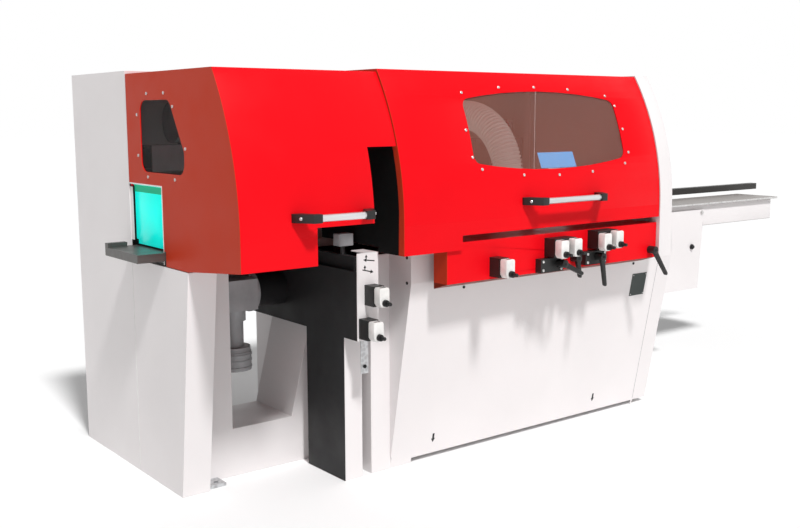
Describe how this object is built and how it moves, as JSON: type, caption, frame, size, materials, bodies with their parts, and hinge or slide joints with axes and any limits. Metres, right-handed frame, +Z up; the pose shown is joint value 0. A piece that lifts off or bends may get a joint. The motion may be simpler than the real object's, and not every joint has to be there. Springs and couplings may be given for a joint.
{
  "type": "four sided moulder",
  "caption": "Four sided moulder with hinged red sound hoods on a white steel base, adjustable cutterheads, powered feed beam, extraction hoses and a long infeed table with a side rail",
  "frame": {"origin": "centre of the bounding box at floor level", "axes": "+X runs against the feed towards the infeed end, +Y from the operator side to the rear, +Z up"},
  "size_m": [4.17, 1.558, 1.527],
  "materials": {
    "white_paint": "smooth satin paint",
    "red_paint": "glossy paint",
    "dark_paint": "satin paint",
    "table_iron": "ground surface",
    "grey_paint": "smooth paint",
    "bright_steel": "ground steel",
    "dark_steel": "blackened steel",
    "duct_sheet": "galvanised sheet",
    "hose_plastic": "translucent ribbed hose",
    "black_plastic": "fine textured plastic",
    "white_plastic": "smooth plastic",
    "handle_metal": "brushed tube on black ends",
    "window_glass": "clear sheet",
    "flap_plastic": "tinted sheet"
  },
  "bodies": {
    "frame": {"outfeed_column": "white_paint", "front_posts": "white_paint", "base_cabinet": "white_paint", "base_front_cover": "white_paint", "right_leg": "white_paint", "rear_housing": "white_paint", "electrical_cabinet": "white_paint", "infeed_portal": "white_paint", "infeed_support": "white_paint", "control_fascia": "red_paint", "bed_end_cover": "dark_paint", "head_wall": "dark_paint", "machine_bed": "dark_paint", "bed_plates": "table_iron", "outfeed_table": "table_iron", "guide_fence": "table_iron", "gearmotor": "grey_paint", "first_bottom_unit": "grey_paint", "guide_columns": "bright_steel", "anchor_feet": "dark_steel", "extraction_ducts": "duct_sheet", "extraction_hoses": "hose_plastic", "control_mounts": "black_plastic", "indicator_covers": "white_plastic"},
    "left_hood": {"left_hood": "red_paint", "end_window": "window_glass", "left_handle": "handle_metal"},
    "flap": {"outfeed_flap": "flap_plastic"},
    "right_hood": {"right_hood": "red_paint", "front_window": "window_glass", "right_handle": "handle_metal"},
    "bottom1_cutter": {"bottom1_cutter": "bright_steel"},
    "right_saddle": {"right_saddle": "table_iron"},
    "right_quill": {"right_quill": "grey_paint"},
    "right_cutter": {"right_cutter": "bright_steel"},
    "left_saddle": {"left_saddle": "table_iron"},
    "left_quill": {"left_quill": "grey_paint"},
    "left_cutter": {"left_cutter": "bright_steel"},
    "top_unit": {"top_unit": "grey_paint"},
    "top_cutter": {"top_cutter": "bright_steel"},
    "bottom2_saddle": {"bottom2_saddle": "table_iron"},
    "bottom2_quill": {"bottom2_quill": "grey_paint"},
    "bottom2_cutter": {"bottom2_cutter": "bright_steel"},
    "feed_beam": {"feed_beam": "grey_paint"},
    "roller_1": {"roller_1": "dark_steel"},
    "roller_2": {"roller_2": "dark_steel"},
    "roller_3": {"roller_3": "dark_steel"},
    "infeed_table": {"infeed_table": "table_iron"},
    "table_crank": {"table_crank": "dark_steel"},
    "shaft_1": {"shaft_1": "dark_steel"},
    "shaft_2": {"shaft_2": "dark_steel"},
    "shaft_3": {"shaft_3": "dark_steel"},
    "shaft_4": {"shaft_4": "dark_steel"},
    "shaft_5": {"shaft_5": "dark_steel"},
    "post_shaft_1": {"post_shaft_1": "dark_steel"},
    "post_shaft_2": {"post_shaft_2": "dark_steel"},
    "lever_1": {"lever_1": "black_plastic"},
    "lever_2": {"lever_2": "black_plastic"},
    "lever_3": {"lever_3": "black_plastic"},
    "lever_4": {"lever_4": "black_plastic"}
  },
  "joints": [
    {"name": "left_hood_hinge", "type": "hinge", "parent": "frame", "child": "left_hood", "pos_m": [-1.66, 0.162, 1.52], "axis": [-1, 0, 0], "range_deg": [0, 65]},
    {"name": "flap_hinge", "type": "hinge", "parent": "left_hood", "child": "flap", "pos_m": [-1.97, 0.01, 1.106], "axis": [0, 1, 0], "range_deg": [0, 75]},
    {"name": "right_hood_hinge", "type": "hinge", "parent": "frame", "child": "right_hood", "pos_m": [-0.646, 0.162, 1.52], "axis": [-1, 0, 0], "range_deg": [0, 65]},
    {"name": "bottom1_spin", "type": "hinge", "parent": "frame", "child": "bottom1_cutter", "pos_m": [-0.06, 0.073, 0.8135], "axis": [0, 1, 0], "continuous": true},
    {"name": "right_reach", "type": "slide", "parent": "frame", "child": "right_saddle", "axis": [0, 1, 0], "range_m": [-0.012, 0.012]},
    {"name": "right_height", "type": "slide", "parent": "right_saddle", "child": "right_quill", "axis": [0, 0, 1], "range_m": [-0.015, 0.015]},
    {"name": "right_spin", "type": "hinge", "parent": "right_quill", "child": "right_cutter", "pos_m": [-0.29, 0.2185, 0.934], "axis": [0, 0, 1], "continuous": true},
    {"name": "left_reach", "type": "slide", "parent": "frame", "child": "left_saddle", "axis": [0, 1, 0], "range_m": [-0.075, 0.055]},
    {"name": "left_height", "type": "slide", "parent": "left_saddle", "child": "left_quill", "axis": [0, 0, 1], "range_m": [-0.015, 0.015]},
    {"name": "left_spin", "type": "hinge", "parent": "left_quill", "child": "left_cutter", "pos_m": [-0.55, -0.0265, 0.934], "axis": [0, 0, 1], "continuous": true},
    {"name": "top_height", "type": "slide", "parent": "frame", "child": "top_unit", "axis": [0, 0, 1], "range_m": [-0.03, 0.025]},
    {"name": "top_spin", "type": "hinge", "parent": "top_unit", "child": "top_cutter", "pos_m": [-0.895, 0.073, 0.9985], "axis": [0, 1, 0], "continuous": true},
    {"name": "bottom2_height", "type": "slide", "parent": "frame", "child": "bottom2_saddle", "axis": [0, 0, 1], "range_m": [-0.01, 0.01]},
    {"name": "bottom2_reach", "type": "slide", "parent": "bottom2_saddle", "child": "bottom2_quill", "axis": [0, 1, 0], "range_m": [-0.01, 0.01]},
    {"name": "bottom2_spin", "type": "hinge", "parent": "bottom2_quill", "child": "bottom2_cutter", "pos_m": [-1.63, 0.073, 0.8135], "axis": [0, 1, 0], "continuous": true},
    {"name": "feed_height", "type": "slide", "parent": "frame", "child": "feed_beam", "axis": [0, 0, 1], "range_m": [-0.04, 0.04]},
    {"name": "roller_1_spin", "type": "hinge", "parent": "feed_beam", "child": "roller_1", "pos_m": [-0.17, 0.061, 1.036], "axis": [0, 1, 0], "continuous": true},
    {"name": "roller_2_spin", "type": "hinge", "parent": "feed_beam", "child": "roller_2", "pos_m": [-0.72, 0.061, 1.036], "axis": [0, 1, 0], "continuous": true},
    {"name": "roller_3_spin", "type": "hinge", "parent": "feed_beam", "child": "roller_3", "pos_m": [-1.28, 0.061, 1.036], "axis": [0, 1, 0], "continuous": true},
    {"name": "table_height", "type": "slide", "parent": "frame", "child": "infeed_table", "axis": [0, 0, 1], "range_m": [-0.01, 0]},
    {"name": "crank_turn", "type": "hinge", "parent": "frame", "child": "table_crank", "pos_m": [1.09, -0.05, 0.643], "axis": [0, 1, 0], "range_deg": [-721, 1]},
    {"name": "shaft_1_turn", "type": "hinge", "parent": "frame", "child": "shaft_1", "pos_m": [-0.903, -0.7, 0.77], "axis": [0, 1, 0], "range_deg": [-2161, 1801]},
    {"name": "shaft_2_turn", "type": "hinge", "parent": "frame", "child": "shaft_2", "pos_m": [-0.613, -0.7, 0.818], "axis": [0, 1, 0], "range_deg": [-5401, 3961]},
    {"name": "shaft_3_turn", "type": "hinge", "parent": "frame", "child": "shaft_3", "pos_m": [-0.539, -0.7, 0.82], "axis": [0, 1, 0], "range_deg": [-1081, 1081]},
    {"name": "shaft_4_turn", "type": "hinge", "parent": "frame", "child": "shaft_4", "pos_m": [-0.365, -0.7, 0.827], "axis": [0, 1, 0], "range_deg": [-865, 865]},
    {"name": "shaft_5_turn", "type": "hinge", "parent": "frame", "child": "shaft_5", "pos_m": [-0.294, -0.7, 0.833], "axis": [0, 1, 0], "range_deg": [-1081, 1081]},
    {"name": "post_shaft_1_turn", "type": "hinge", "parent": "frame", "child": "post_shaft_1", "pos_m": [-1.374, -0.55, 0.695], "axis": [0, 1, 0], "range_deg": [-721, 721]},
    {"name": "post_shaft_2_turn", "type": "hinge", "parent": "frame", "child": "post_shaft_2", "pos_m": [-1.4, -0.55, 0.575], "axis": [0, 1, 0], "range_deg": [-721, 721]},
    {"name": "lever_1_turn", "type": "hinge", "parent": "frame", "child": "lever_1", "pos_m": [-0.585, -0.7, 0.776], "axis": [0, 1, 0], "range_deg": [-30, 45]},
    {"name": "lever_2_turn", "type": "hinge", "parent": "frame", "child": "lever_2", "pos_m": [-0.362, -0.7, 0.784], "axis": [0, 1, 0], "range_deg": [-35, 35]},
    {"name": "lever_3_turn", "type": "hinge", "parent": "frame", "child": "lever_3", "pos_m": [0.005, -0.67, 0.778], "axis": [0, 1, 0], "range_deg": [-40, 40]},
    {"name": "lever_4_turn", "type": "hinge", "parent": "frame", "child": "lever_4", "pos_m": [-0.474, -0.67, 0.784], "axis": [0, 1, 0], "range_deg": [-25, 25]}
  ],
  "couplings": [
    {"joint": "crank_turn", "follows": "table_height", "rad_per_m": 1256.6},
    {"joint": "roller_2_spin", "follows": "roller_1_spin", "ratio": 1},
    {"joint": "roller_3_spin", "follows": "roller_1_spin", "ratio": 1},
    {"joint": "shaft_1_turn", "follows": "top_height", "rad_per_m": 1256.6},
    {"joint": "shaft_2_turn", "follows": "left_reach", "rad_per_m": 1256.6},
    {"joint": "shaft_3_turn", "follows": "left_height", "rad_per_m": 1256.6},
    {"joint": "shaft_4_turn", "follows": "right_reach", "rad_per_m": 1256.6},
    {"joint": "shaft_5_turn", "follows": "right_height", "rad_per_m": 1256.6},
    {"joint": "post_shaft_1_turn", "follows": "bottom2_height", "rad_per_m": 1256.6},
    {"joint": "post_shaft_2_turn", "follows": "bottom2_reach", "rad_per_m": 1256.6}
  ]
}
